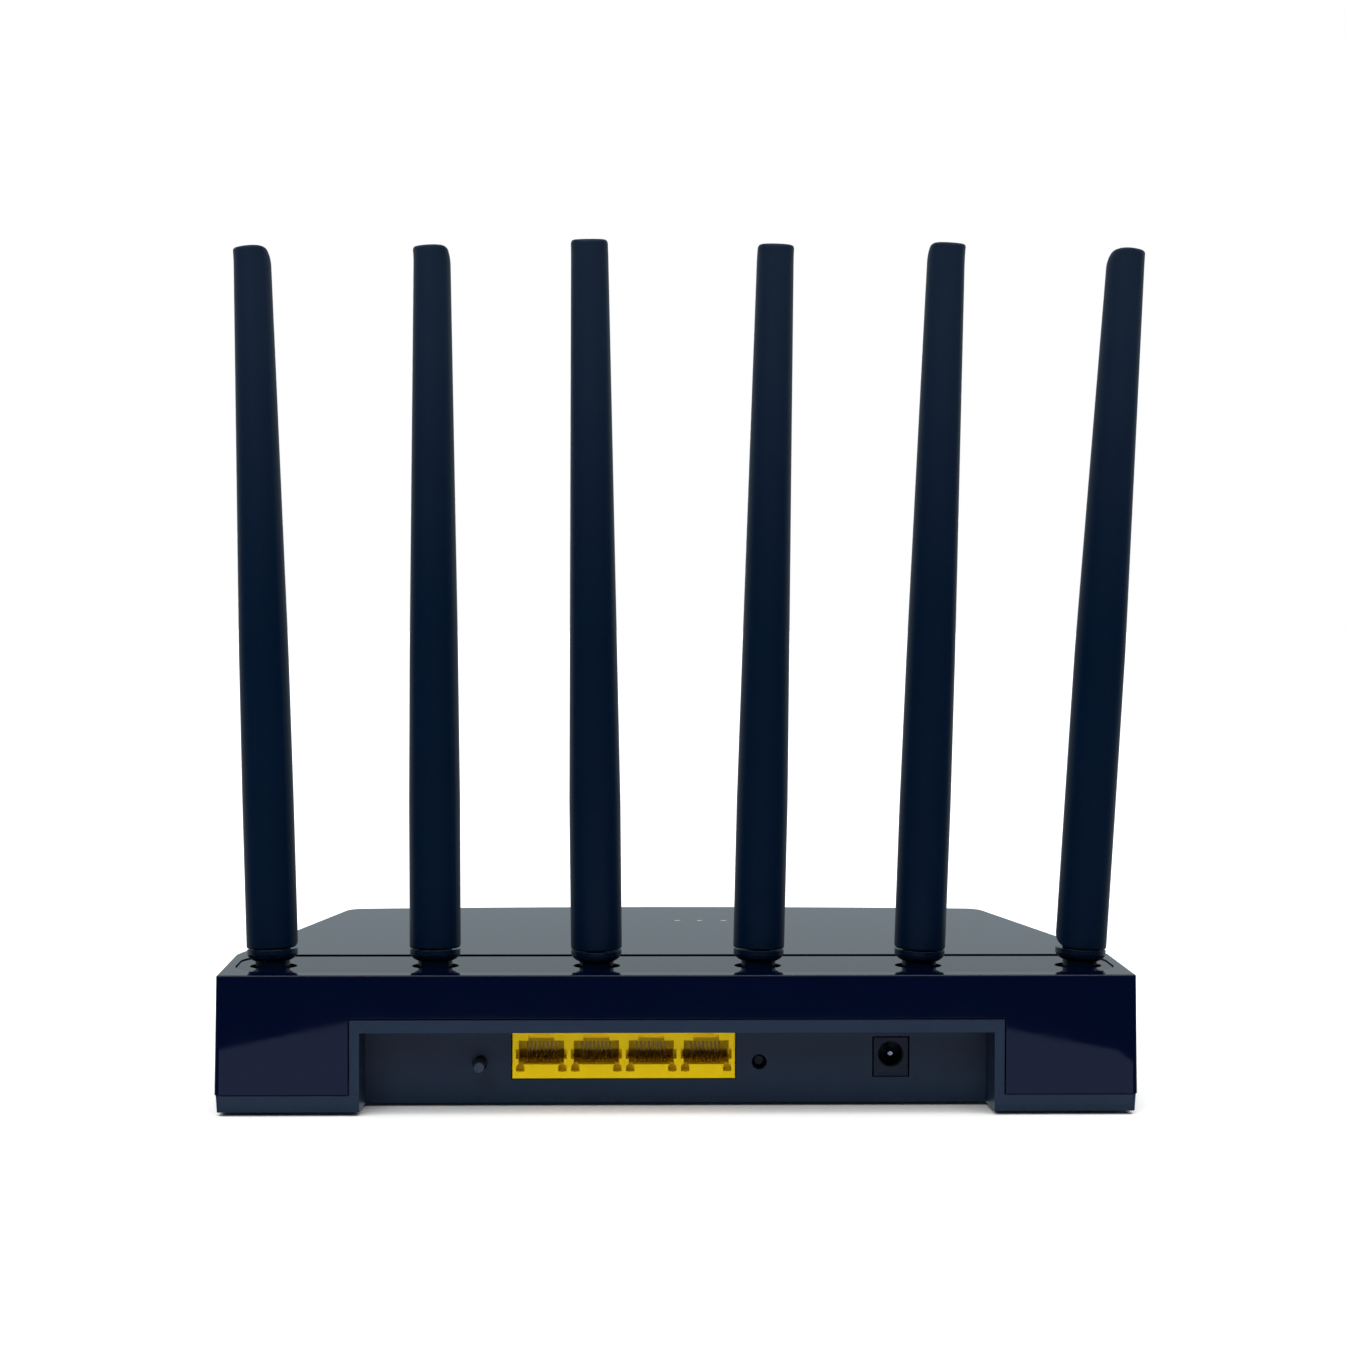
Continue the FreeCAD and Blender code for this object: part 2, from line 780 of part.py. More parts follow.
def antenna_seats():
    out = []
    for x in antenna_xs():
        blank = seat_blank(x, z_ball + seat_split, z_under)
        tools = [Part.makeSphere(seat_bore_r, V(x, y_antenna, z_ball)),
                 rod(seat_open_r, x, y_antenna, z_ball, z_under + 1)]
        tools += [rod(seat_screw_r, sx, sy, z_ball, z_under - 1)
                  for sx, sy in seat_screw_spots(x)]
        out.append(cut(blank, tools))
    return out


def antenna_retainers():
    out = []
    low = z_ball - retainer_h
    for x in antenna_xs():
        blank = seat_blank(x, low, z_ball + seat_split)
        tools = [Part.makeSphere(seat_bore_r, V(x, y_antenna, z_ball)),
                 rod(retainer_open_r, x, y_antenna, low - 1, z_ball)]
        tools += [rod(seat_screw_r, sx, sy, low - 1, z_ball + 1)
                  for sx, sy in seat_screw_spots(x)]
        out.append(cut(blank, tools))
    return out


def retainer_screws():
    out = []
    z = z_ball - retainer_h - seat_head_t
    reach = retainer_h + seat_top - seat_screw_short
    for x in antenna_xs():
        for sx, sy in seat_screw_spots(x):
            out.append(screw(seat_screw_r, seat_head_r, seat_head_t, sx, sy, z, reach))
    return out


# ---- board ----

def main_board():
    w = board_w / 2
    board = rounded_box(-w, w, y_board_back, y_board_front, z_board, z_board_top, 2.0)
    return cut(board, [rod(board_screw_r + 0.15, x, y, z_board - 1, z_board_top + 1)
                       for x, y in board_spots()])


def board_screws():
    out = []
    arm = board_head_r - 1.0
    slot = board_cross
    z0 = z_board_top + board_head_t - 0.8
    z1 = z_board_top + board_head_t + 1
    for x, y in board_spots():
        body = fuse([rod(board_head_r, x, y, z_board_top, z_board_top + board_head_t),
                     rod(board_screw_r, x, y, z_floor + 0.4, z_board_top)])
        cross = [box(x - arm, x + arm, y - slot, y + slot, z0, z1),
                 box(x - slot, x + slot, y - arm, y + arm, z0, z1)]
        out.append(cut(body, cross))
    return out


def chip(x, y, size):
    """A moulded chip with a round mark in one corner."""
    w, d, h = size
    body = box(x - w / 2, x + w / 2, y - d / 2, y + d / 2, z_board_top, z_board_top + h)
    mark = rod(min(w, d) * 0.06, x - w * 0.36, y + d * 0.36, z_board_top + h - 0.12,
               z_board_top + h + 1)
    return body.cut(mark)


def chip_row_y():
    return y_board_back + chip_row


def processor():
    return chip(0, chip_row_y(), processor_size)


def memory_chips():
    y = chip_row_y()
    return [chip(at[0], y + at[1], size)
            for at, size in ((memory_at, memory_size), (flash_at, flash_size))]


def radio_cans():
    out = []
    w, d, h = can_size
    y0 = chip_row_y() - d / 2
    y1 = chip_row_y() + d / 2
    z = z_board_top
    for side in (-1, 1):
        x0 = side * radio_x - w / 2
        x1 = side * radio_x + w / 2
        room = box(x0 + can_t, x1 - can_t, y0 + can_t, y1 - can_t, z - 1, z + h - can_t)
        out.append(box(x0, x1, y0, y1, z, z + h).cut(room))
    return out


def radio_chips():
    return [chip(side * radio_x, chip_row_y(), radio_chip_size) for side in (-1, 1)]


def thermal_pad():
    z = z_board_top + processor_size[2]
    y = chip_row_y()
    half = pad_w / 2
    return box(-half, half, y - half, y + half, z, z + pad_t)


def heat_sink():
    z = z_board_top + processor_size[2] + pad_t
    y = chip_row_y()
    half = sink_w / 2
    fins = [box(-half, half, y - half, y + half, z, z + sink_base_t)]
    for n in range(fin_count):
        x = -half + n * (sink_w - fin_t) / (fin_count - 1)
        fins.append(box(x, x + fin_t, y - half, y + half, z, z + sink_h))
    return fuse(fins)


def magnetics():
    w, d, h = magnetics_size
    y = y_lan + lan_d + magnetics_behind
    out = []
    for n in range(lan_ports // 2):
        x = lan_x + (n - (lan_ports // 2 - 1) / 2) * 2 * lan_pitch
        out.append(rounded_box(x - w / 2, x + w / 2, y - d / 2, y + d / 2,
                               z_board_top, z_board_top + h, 0.6))
    return out


def capacitors():
    """Two large and one small beside the power socket, one small at the other side."""
    large = (capacitor_r, capacitor_h)
    small = (small_capacitor_r, small_capacitor_h)
    spots = [(jack_x - capacitor_by_jack, 8, large), (jack_x - capacitor_by_jack, 18, large),
             (jack_x - small_by_jack, 10, small), (12 - board_w / 2, 30, small)]
    out = []
    for x, back, (r, h) in spots:
        can = rod(r, x, y_board_back + back, z_board_top, z_board_top + h)
        top = [e for e in can.Edges if abs(e.BoundBox.ZMin - z_board_top - h) < 1e-6]
        out.append(can.makeFillet(0.6, top))
    return out


def inductors():
    x = jack_x - inductor_by_jack
    half = inductor_w / 2
    rows = (y_board_back + 22, y_board_back + 31)
    return [rounded_box(x - half, x + half, y - half, y + half,
                        z_board_top, z_board_top + inductor_h, 1.0) for y in rows]


def crystal():
    w, d, h = crystal_size
    x = crystal_at[0]
    y = chip_row_y() + crystal_at[1]
    return rounded_box(x - w / 2, x + w / 2, y - d / 2, y + d / 2,
                       z_board_top, z_board_top + h, d * 0.45)


# ---- sockets and switches ----

def port_xs():
    return [lan_x + (n - (lan_ports - 1) / 2) * lan_pitch for n in range(lan_ports)]


def port_cutters(x):
    y0 = y_lan - 1
    y1 = y_lan + port_deep
    z = z_lan
    w = port_w / 2
    s = shoulder_w / 2
    k = latch_w / 2
    n = latch_slot_w / 2
    out = [box(x - w, x + w, y0, y1, z + port_low, z + port_high),
           box(x - s, x + s, y0, y_lan + shoulder_deep, z + shoulder_low, z + shoulder_high),
           box(x - k, x + k, y0, y_lan + latch_deep, z + port_high - 0.1, z + latch_high),
           box(x - n, x + n, y0, y_lan + latch_slot_deep, z + latch_high - 0.1,
               z + lan_h - latch_roof)]
    for side in (-1, 1):
        cx = x + side * arch_side
        r = arch_w / 2
        out.append(box(cx - r, cx + r, y0, y_lan + arch_deep, z + arch_low,
                       z + arch_high - r))
        out.append(rod_y(r, cx, z + arch_high - r, y0, y_lan + arch_deep))
    return out


def lan_housing():
    block = box(lan_x - lan_w / 2, lan_x + lan_w / 2, y_lan, y_lan + lan_d,
                z_lan, z_lan + lan_h)
    front = [e for e in block.Edges if abs(e.BoundBox.YMax - y_lan) < 1e-6]
    block = block.makeFillet(0.25, front)
    tools = []
    for x in port_xs():
        tools += port_cutters(x)
    return cut(block, tools)


def contact_xs(x):
    mid = (contact_count - 1) / 2
    return [x + (n - mid) * contact_pitch for n in range(contact_count)]


def lan_carriers():
    """Moulded block at the back of each socket, with the comb that spaces the contacts."""
    out = []
    w = port_w / 2
    y0 = y_lan + carrier_front
    y1 = y_lan + port_deep
    for x in port_xs():
        body = fuse([box(x - w, x + w, y0, y1, z_lan + comb_low, z_lan + port_high),
                     box(x - w, x + w, y0 + comb_out, y1, z_lan + port_low, z_lan + comb_low)])
        half = contact_w / 2 + comb_play
        grooves = [box(c - half, c + half, y0 - 1, y0 + comb_groove,
                       z_lan + comb_low - 0.1, z_lan + comb_high)
                   for c in contact_xs(x)]
        out.append(cut(body, grooves))
    return out


def contact_profile():
    """Closed outline of one spring contact in the YZ plane, as (back from front, up)."""
    t = contact_t
    y1 = contact_front
    y2 = carrier_front + contact_in
    z1 = port_low + 0.05
    z2 = contact_high
    z3 = comb_high - contact_short
    return [(y1, z1), (y1 + 2 * t, z1), (y1 + 2 * t, z1 + 0.35), (y2 + t, z2),
            (y2 + t, z3), (y2, z3), (y2, z2 + 0.35),
            (y1 + t, z1 + 0.65), (y1, z1 + 0.3)]


def lan_contacts():
    out = []
    pts = [V(0, y_lan + y, z_lan + z) for y, z in contact_profile()]
    face = Part.Face(Part.makePolygon(pts + [pts[0]]))
    one = face.extrude(V(contact_w, 0, 0))
    for x in port_xs():
        for c in contact_xs(x):
            out.append(one.translated(V(c - contact_w / 2, 0, 0)))
    return out


def jack_face():
    return y_panel + jack_back


def jack_body():
    y0 = jack_face()
    w = jack_w / 2
    z0 = z_shell + jack_low
    z1 = z_shell + jack_high
    zc = z_shell + jack_z
    body = box(jack_x - w, jack_x + w, y0, y0 + jack_d, z0, z1)
    hole = rod_y(jack_hole_r, jack_x, zc, y0 - 1, y0 + jack_hole_d)
    mouth = Part.makeCone(jack_hole_r + jack_mouth, jack_hole_r, jack_mouth,
                          V(jack_x, y0, zc), V(0, 1, 0))
    groove = box(jack_x - groove_w / 2, jack_x + groove_w / 2, y0 + 1.2, y0 + jack_hole_d,
                 zc - jack_hole_r - groove_sunk, zc)
    seat = rod_y(jack_pin_r, jack_x, zc, y0 + jack_hole_d - 1, y0 + jack_d - jack_end)
    return cut(body, [hole, mouth, groove, seat])


def jack_pin():
    y0 = jack_face()
    zc = z_shell + jack_z
    pin = rod_y(jack_pin_r, jack_x, zc, y0 + jack_pin_short, y0 + jack_d - jack_end)
    tip = [e for e in pin.Edges if abs(e.BoundBox.YMax - y0 - jack_pin_short) < 1e-6]
    return pin.makeFillet(0.45, tip)


def jack_spring():
    y0 = jack_face() + 1.3
    y1 = jack_face() + jack_hole_d
    z = z_shell + jack_z - jack_hole_r - 0.4
    pts = [(y0, z), (y1, z), (y1, z + 0.25), (y0 + 6.2, z + 0.25), (y0 + 3.0, z + 0.95),
           (y0 + 1.6, z + 0.95), (y0, z + 0.3)]
    pts = [V(0, a, b) for a, b in pts]
    face = Part.Face(Part.makePolygon(pts + [pts[0]]))
    return face.extrude(V(spring_w, 0, 0)).translated(V(jack_x - spring_w / 2, 0, 0))


def push_button():
    z = z_shell + button_z
    y1 = y_inside
    stem = rod_y(button_r, button_x, z, y_panel - button_out, y1 + button_in)
    tip = [e for e in stem.Edges if abs(e.BoundBox.YMax - (y_panel - button_out)) < 1e-6]
    stem = stem.makeFillet(0.3, tip)
    y2 = y1 + flange_play
    flange = rod_y(button_flange_r, button_x, z, y2, y2 + button_flange_t)
    return fuse([stem, flange])


def switch_block(x, z, y0, bore_r, bore_d):
    """A side-push switch that stands on the board, its bore facing the panel."""
    w = switch_w / 2
    body = box(x - w, x + w, y0, y0 + switch_d, z_board_top, z + w)
    return body.cut(rod_y(bore_r, x, z, y0 - 1, y0 + bore_d))


def push_switch():
    clear = flange_play + button_flange_t + switch_play
    y0 = y_inside + clear + button_stroke
    bore_d = button_in - clear + bore_room
    return switch_block(button_x, z_shell + button_z, y0, button_r + switch_room, bore_d)


def reset_parts():
    z = z_shell + reset_z
    y_cap = y_inside + reset_sunk
    y_body = y_cap + reset_cap_out
    cap = rod_y(reset_cap_r, reset_x, z, y_cap, y_body + reset_cap_in)
    tip = [e for e in cap.Edges if abs(e.BoundBox.YMax - y_cap) < 1e-6]
    cap = cap.makeFillet(0.25, tip)
    body = switch_block(reset_x, z, y_body, reset_cap_r + switch_room,
                        reset_cap_in + reset_stroke + bore_room)
    return cap, body


# ---- lights ----

def light_box(x, w, d, z0, z1):
    return box(x - w / 2, x + w / 2, y_light - d / 2, y_light + d / 2, z0, z1)


def light_pipes():
    out = []
    collar_w, collar_d, collar_h = light_collar
    stem_w, stem_d = light_stem
    low = z_under - collar_h
    for x, top in zip(light_x, light_slots(0, z_under, z_top)):
        collar = light_box(x, collar_w, collar_d, low, z_under)
        stem = light_box(x, stem_w, stem_d, z_board_top + light_over, low)
        out.append(fuse([top, collar, stem]))
    return out


def light_chips():
    w, d, h = lamp_size
    return [light_box(x, w, d, z_board_top, z_board_top + h) for x in light_x]


def light_guide():
    """Bracket on the board that keeps the light pipes' feet over their lamps."""
    middle = (light_x[0] + light_x[-1]) / 2
    length = light_x[-1] - light_x[0] + 2 * guide_edge
    z = z_board_top
    stem_w, stem_d = light_stem
    holes = [light_box(x, stem_w + 2 * guide_play, stem_d + 2 * guide_play, z - 1,
                       z + guide_h + 1) for x in light_x]
    return cut(light_box(middle, length, guide_d, z, z + guide_h), holes)


# ---- antenna leads ----

def lead_route(i):
    """Corner points of one coaxial lead, from the ball's foot to its plug on the board."""
    x = antenna_xs()[i]
    side = 1 if x > 0 else -1
    order = abs(i - (antenna_count - 1) / 2) - 0.5
    plug_x = side * (radio_x - plug_inner + plug_step * order)
    plug_y = y_board_back + plug_back
    y_mid = y_antenna + lead_side + lead_step * order
    z_low = z_ball - retainer_h - lead_drop
    return [V(x, y_antenna, z_ball - lead_up), V(x, y_antenna, z_low), V(x, y_mid, z_low),
            V(plug_x, y_mid, z_low), V(plug_x, plug_y, z_low),
            V(plug_x, plug_y, z_board_top + plug_rise + plug_h)]


def bent_wire(points, r):
    """Straight runs joined by tangent arcs of bend radius r."""
    edges = []
    start = points[0]
    for a, q, b in zip(points, points[1:], points[2:]):
        u, m, w = corner_arc(a, q, b, r)
        edges.append(Part.makeLine(start, u))
        edges.append(Part.Arc(u, m, w).toShape())
        start = w
    edges.append(Part.makeLine(start, points[-1]))
    return Part.Wire(edges)


def tube_along(wire, r, start, direction):
    ring = Part.Wire([Part.makeCircle(r, start, direction)])
    return wire.makePipeShell([ring], True, False)


def coax_leads():
    out = []
    for i in range(antenna_count):
        points = lead_route(i)
        wire = bent_wire(points, lead_bend_r)
        out.append(tube_along(wire, lead_r, points[0], points[1] - points[0]))
    return out


def coax_plugs():
    out = []
    for i in range(antenna_count):
        end = lead_route(i)[-1]
        z = z_board_top
        out.append(fuse([rod(plug_r, end.x, end.y, z + plug_rise, z + plug_rise + plug_h),
                         rod(plug_neck_r, end.x, end.y, z + socket_h, z + plug_rise)]))
    return out


def coax_sockets():
    out = []
    for i in range(antenna_count):
        end = lead_route(i)[-1]
        out.append(rod(socket_r, end.x, end.y, z_board_top, z_board_top + socket_h))
    return out


def main():
    save("top_cover", [top_cover()])
    save("antenna_strip", [antenna_strip()])
    save("bottom_shell", [bottom_shell()])
    save("rubber_feet", rubber_feet())
    save("case_screws", case_screws())
    build_antennas()
    save("antenna_seats", antenna_seats())
    save("antenna_retainers", antenna_retainers())
    save("retainer_screws", retainer_screws())
    save("main_board", [main_board()])
    save("board_screws", board_screws())
    save("processor", [processor()])
    save("thermal_pad", [thermal_pad()])
    save("heat_sink", [heat_sink()])
    save("memory_chips", memory_chips())
    save("radio_cans", radio_cans())
    save("radio_chips", radio_chips())
    save("magnetics", magnetics())
    save("capacitors", capacitors())
    save("inductors", inductors())
    save("crystal", [crystal()])
    save("lan_housing", [lan_housing()])
    save("lan_carriers", lan_carriers())
    save("lan_contacts", lan_contacts())
    save("jack_body", [jack_body()])
    save("jack_pin", [jack_pin()])
    save("jack_spring", [jack_spring()])
    save("push_button", [push_button()])
    save("push_switch", [push_switch()])
    cap, body = reset_parts()
    save("reset_cap", [cap])
    save("reset_switch", [body])
    save("light_pipes", light_pipes())
    save("light_chips", light_chips())
    save("light_guide", [light_guide()])
    save("coax_leads", coax_leads())
    save("coax_plugs", coax_plugs())
    save("coax_sockets", coax_sockets())


main()
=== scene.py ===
"""Looks of a six-antenna wireless router: its finishes and the studio around it.

Lengths are metres in the row frame: +Z is up, the sockets face -Y, and the origin is under the
body's middle on the surface that the feet stand on.
"""

import logging
import math
from dataclasses import dataclass, field
from enum import Enum

import bpy
from mathutils import Matrix, Vector


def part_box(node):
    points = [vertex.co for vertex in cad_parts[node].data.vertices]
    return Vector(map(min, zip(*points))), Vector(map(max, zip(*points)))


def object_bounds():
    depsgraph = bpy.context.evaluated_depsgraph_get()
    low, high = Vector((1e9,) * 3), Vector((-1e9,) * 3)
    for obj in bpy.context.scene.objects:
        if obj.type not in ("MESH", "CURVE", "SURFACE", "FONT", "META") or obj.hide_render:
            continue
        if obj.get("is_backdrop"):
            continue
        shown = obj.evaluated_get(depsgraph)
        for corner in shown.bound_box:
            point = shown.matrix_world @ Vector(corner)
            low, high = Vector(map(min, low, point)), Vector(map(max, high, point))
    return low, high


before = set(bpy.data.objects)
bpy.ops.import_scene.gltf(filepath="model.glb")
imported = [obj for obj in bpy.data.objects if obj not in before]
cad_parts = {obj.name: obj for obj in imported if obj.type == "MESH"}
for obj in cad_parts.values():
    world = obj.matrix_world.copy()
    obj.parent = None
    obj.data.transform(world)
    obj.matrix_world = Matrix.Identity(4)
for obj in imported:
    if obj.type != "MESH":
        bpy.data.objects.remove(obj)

Colour = tuple[float, float, float]
Point = tuple[float, float, float]
Span = tuple[float, float]
Socket = bpy.types.NodeSocket

LOG = logging.getLogger("router")
ANTENNAS = 6
WHITE: Colour = (1.0, 1.0, 1.0)
EVEN: Point = (1.0, 1.0, 1.0)
NONE_TO_ALL: Span = (0.0, 1.0)
ALL_TO_NONE: Span = (1.0, 0.0)

# How the grain of each kind of relief is drawn out, and how far apart its pits are.
BRUSHED_DRAW: Point = (1.0, 0.04, 1.0)
TURNED_DRAW: Point = (1.0, 1.0, 0.2)
PIT_STEP = 1.7
PEBBLE_FACE: Span = (0.0, 0.7)

# Where patches of the second colour and faint handling marks fade in.
PATCH_FADE: Span = (0.35, 0.7)
MARK_FADE: Span = (0.3, 0.75)
MARK_DRAW: Point = (1.0, 0.5, 0.8)
MARK_STEP = 0.4

# How far each colour of light spreads under a soft surface, and how finely a rounded edge is worked out.
SOFT_REACH: Point = (0.001, 0.0007, 0.0004)
EDGE_SAMPLES = 4


class Relief(Enum):
    """Kinds of fine relief that a mould, a tool or a coating leaves on a surface."""

    PEEL = "the soft waviness of polished plastic"
    SPARK = "the fine pits of a spark-eroded mould"
    PEBBLE = "the round pebbles of moulded rubber"
    BRUSHED = "the fine lines of drawn or rolled metal"
    TURNED = "the rings of a turned or headed part"


class Sheet:
    """A node sheet, with short methods for the nodes that finishes and surroundings share."""

    def __init__(self, tree: bpy.types.NodeTree, place: str) -> None:
        """Starts work on a sheet.

        Args:
            tree: the nodes.
            place: which coordinates the patterns follow.
        """
        self.tree = tree
        self.place = self.add("ShaderNodeTexCoord").outputs[place]

    def add(self, kind: str, **settings: object) -> bpy.types.Node:
        """Adds a node.

        Args:
            kind: Blender's name of the node type.
            settings: properties to set on the node.

        Returns:
            The new node.
        """
        node = self.tree.nodes.new(kind)
        for key, value in settings.items():
            setattr(node, key, value)
        return node

    def link(self, source: Socket, target: Socket) -> None:
        """Joins an output to an input."""
        self.tree.links.new(source, target)

    def along(self, axis: str) -> Socket:
        """How far a place lies along one axis.

        Args:
            axis: X, Y or Z.

        Returns:
            The coordinate.
        """
        split = self.add("ShaderNodeSeparateXYZ")
        self.link(self.place, split.inputs[0])
        return split.outputs[axis]

    def stretched(self, shape: Point) -> Socket:
        """Coordinates scaled by a different factor along each axis.

        Args:
            shape: the factor along X, Y and Z.

        Returns:
            The scaled coordinates.
        """
        mapping = self.add("ShaderNodeMapping")
        mapping.inputs["Scale"].default_value = shape
        self.link(self.place, mapping.inputs["Vector"])
        return mapping.outputs["Vector"]

    def noise(self, size: float, detail: float = 2.0, shape: Point = EVEN) -> Socket:
        """Cloudy noise.

        Args:
            size: width of one cloud.
            detail: how many finer layers it has.
            shape: stretch along each axis.

        Returns:
            A value from 0 to 1.
        """
        node = self.add("ShaderNodeTexNoise")
        node.inputs["Scale"].default_value = 1 / size
        node.inputs["Detail"].default_value = detail
        self.link(self.stretched(shape), node.inputs["Vector"])
        return node.outputs["Fac"]

    def cells(self, size: float) -> Socket:
        """Distance to the middle of the nearest cell.

        Args:
            size: width of one cell.

        Returns:
            A value that grows away from each cell's middle.
        """
        node = self.add("ShaderNodeTexVoronoi")
        node.inputs["Scale"].default_value = 1 / size
        self.link(self.place, node.inputs["Vector"])
        return node.outputs["Distance"]

    def ranged(self, value: Socket, source: Span, target: Span = NONE_TO_ALL) -> Socket:
        """Maps a value from one span to another, smoothly, and holds it inside.

        Args:
            value: the value to map.
            source: the span it comes from.
            target: the span it goes to.

        Returns:
            The mapped value.
        """
        node = self.add("ShaderNodeMapRange", interpolation_type="SMOOTHSTEP")
        for key, number in zip(("From Min", "From Max", "To Min", "To Max"), source + target):
            node.inputs[key].default_value = number
        self.link(value, node.inputs["Value"])
        return node.outputs["Result"]

    def mixed(self, share: Socket, first: Colour | Socket, second: Colour | Socket) -> Socket:
        """Mixes two colours.

        Args:
            share: how much of the second there is, from 0 to 1.
            first: a colour, or an output that gives one.
            second: a colour, or an output that gives one.

        Returns:
            The mixed colour.
        """
        node = self.add("ShaderNodeMix", data_type="RGBA")
        self.link(share, node.inputs[0])
        for index, colour in ((6, first), (7, second)):
            if isinstance(colour, Socket):
                self.link(colour, node.inputs[index])
            else:
                node.inputs[index].default_value = (*colour, 1.0)
        return node.outputs[2]

    def summed(self, first: Socket, second: Socket) -> Socket:
        """Adds two values.

        Args:
            first: the first value.
            second: the second value.

        Returns:
            Their sum.
        """
        node = self.add("ShaderNodeMath", operation="ADD")
        self.link(first, node.inputs[0])
        self.link(second, node.inputs[1])
        return node.outputs[0]


class Shader(Sheet):
    """The node sheet of one material."""

    def __init__(self, name: str) -> None:
        """Makes an empty material.

        Args:
            name: what the material is called.
        """
        self.material = bpy.data.materials.new(name)
        self.material.use_nodes = True
        super().__init__(self.material.node_tree, "Object")
        self.surface = self.tree.nodes["Principled BSDF"]

    def set(self, **values: object) -> None:
        """Sets inputs of the surface shader; an underscore in a key stands for a space."""
        for key, value in values.items():
            self.surface.inputs[key.replace("_", " ")].default_value = value

    def bump(self, height: Socket, depth: float, edge: float) -> Socket:
        """Relief from a height value, over edges that catch the light as if slightly rounded.

        Args:
            height: the height, from 0 to 1.
            depth: how deep a height of 1 is.
            edge: radius of the edges, or 0 to leave them as they are.

        Returns:
            The surface direction.
        """
        node = self.add("ShaderNodeBump")
        node.inputs["Distance"].default_value = depth
        self.link(height, node.inputs["Height"])
        if edge:
            rounded = self.add("ShaderNodeBevel", samples=EDGE_SAMPLES)
            rounded.inputs["Radius"].default_value = edge
            self.link(rounded.outputs["Normal"], node.inputs["Normal"])
        return node.outputs["Normal"]


@dataclass(frozen=True)
class Finish:
    """A surface finish.

    Attributes:
        name: what the finish is called.
        slot: the record's material slot that it belongs to; not used by this script.
        colour: the main colour.
        drift: the colour that patches of the surface drift towards.
        drift_size: width of those patches.
        gloss: lowest and highest roughness.
        relief: the kind of fine relief.
        grain: width of one grain of the relief.
        depth: how deep the relief is.
        metal: 1 for bare metal.
        clear: 1 for clear plastic.
        soft: how much light spreads under the surface.
        shine: strength of the mirror reflection, where 0.5 is plain plastic.
        edge: how far its sharp edges are rounded.
    """

    name: str
    slot: str
    colour: Colour
    drift: Colour
    drift_size: float = 0.012
    gloss: Span = (0.3, 0.4)
    relief: Relief = Relief.SPARK
    grain: float = 0.00035
    depth: float = 0.000006
    metal: float = 0.0
    clear: float = 0.0
    soft: float = 0.0
    shine: float = 0.5
    edge: float = 0.0

    def height(self, sheet: Shader) -> Socket:
        """The relief's height over the surface.

        Args:
            sheet: the sheet to add the relief's nodes to.

        Returns:
            The height.
        """
        if self.relief is Relief.PEEL:
            return sheet.noise(self.grain, 1.0)
        if self.relief is Relief.SPARK:
            return sheet.summed(sheet.noise(self.grain, 3.0), sheet.cells(self.grain * PIT_STEP))
        if self.relief is Relief.PEBBLE:
            return sheet.ranged(sheet.cells(self.grain), PEBBLE_FACE, ALL_TO_NONE)
        if self.relief is Relief.BRUSHED:
            return sheet.noise(self.grain, 4.0, BRUSHED_DRAW)
        return sheet.noise(self.grain, 2.0, TURNED_DRAW)

    def colours(self, sheet: Shader) -> Socket:
        """The colour over the surface."""
        patches = sheet.ranged(sheet.noise(self.drift_size, 3.0), PATCH_FADE)
        return sheet.mixed(patches, self.colour, self.drift)

    def roughness(self, sheet: Shader) -> Socket:
        """The roughness over the surface: faint handling marks on an even ground."""
        marks = sheet.noise(self.drift_size * MARK_STEP, 5.0, MARK_DRAW)
        return sheet.ranged(marks, MARK_FADE, self.gloss)

    def build(self) -> bpy.types.Material:
        """Makes the material.

        Returns:
            The material, ready to assign.
        """
        sheet = Shader(self.name)
        sheet.set(Metallic=self.metal, Transmission_Weight=self.clear, Subsurface_Weight=self.soft,
                  Specular_IOR_Level=self.shine)
        if self.soft:
            sheet.set(Subsurface_Radius=SOFT_REACH)
        sheet.link(self.colours(sheet), sheet.surface.inputs["Base Color"])
        sheet.link(self.roughness(sheet), sheet.surface.inputs["Roughness"])
        relief = sheet.bump(self.height(sheet), self.depth, self.edge)
        sheet.link(relief, sheet.surface.inputs["Normal"])
        return sheet.material


@dataclass(frozen=True)
class SleeveWithPaintedTipLight(Finish):
    """Satin sleeve plastic with painted light: its colour lightens a little from the foot of an antenna to
    its tip, standing in for the brighter light on the upper sleeve.

    Attributes:
        pale: the colour at the tip, painted lighter to stand in for how the light falls there.
        painted_light_rise: heights at which the painted light starts and is at full strength.
    """

    pale: Colour = (0.0060, 0.0125, 0.0265)
    painted_light_rise: Span = (0.11, 0.22)

    def colours(self, sheet: Shader) -> Socket:
        """The colour over the sleeve, with painted light that lightens it with height."""
        # Painted light: the sleeve's colour is lightened towards the tip, where more light falls on it.
        painted_tip_light = sheet.ranged(sheet.along("Z"), self.painted_light_rise)
        return sheet.mixed(painted_tip_light, super().colours(sheet), self.pale)


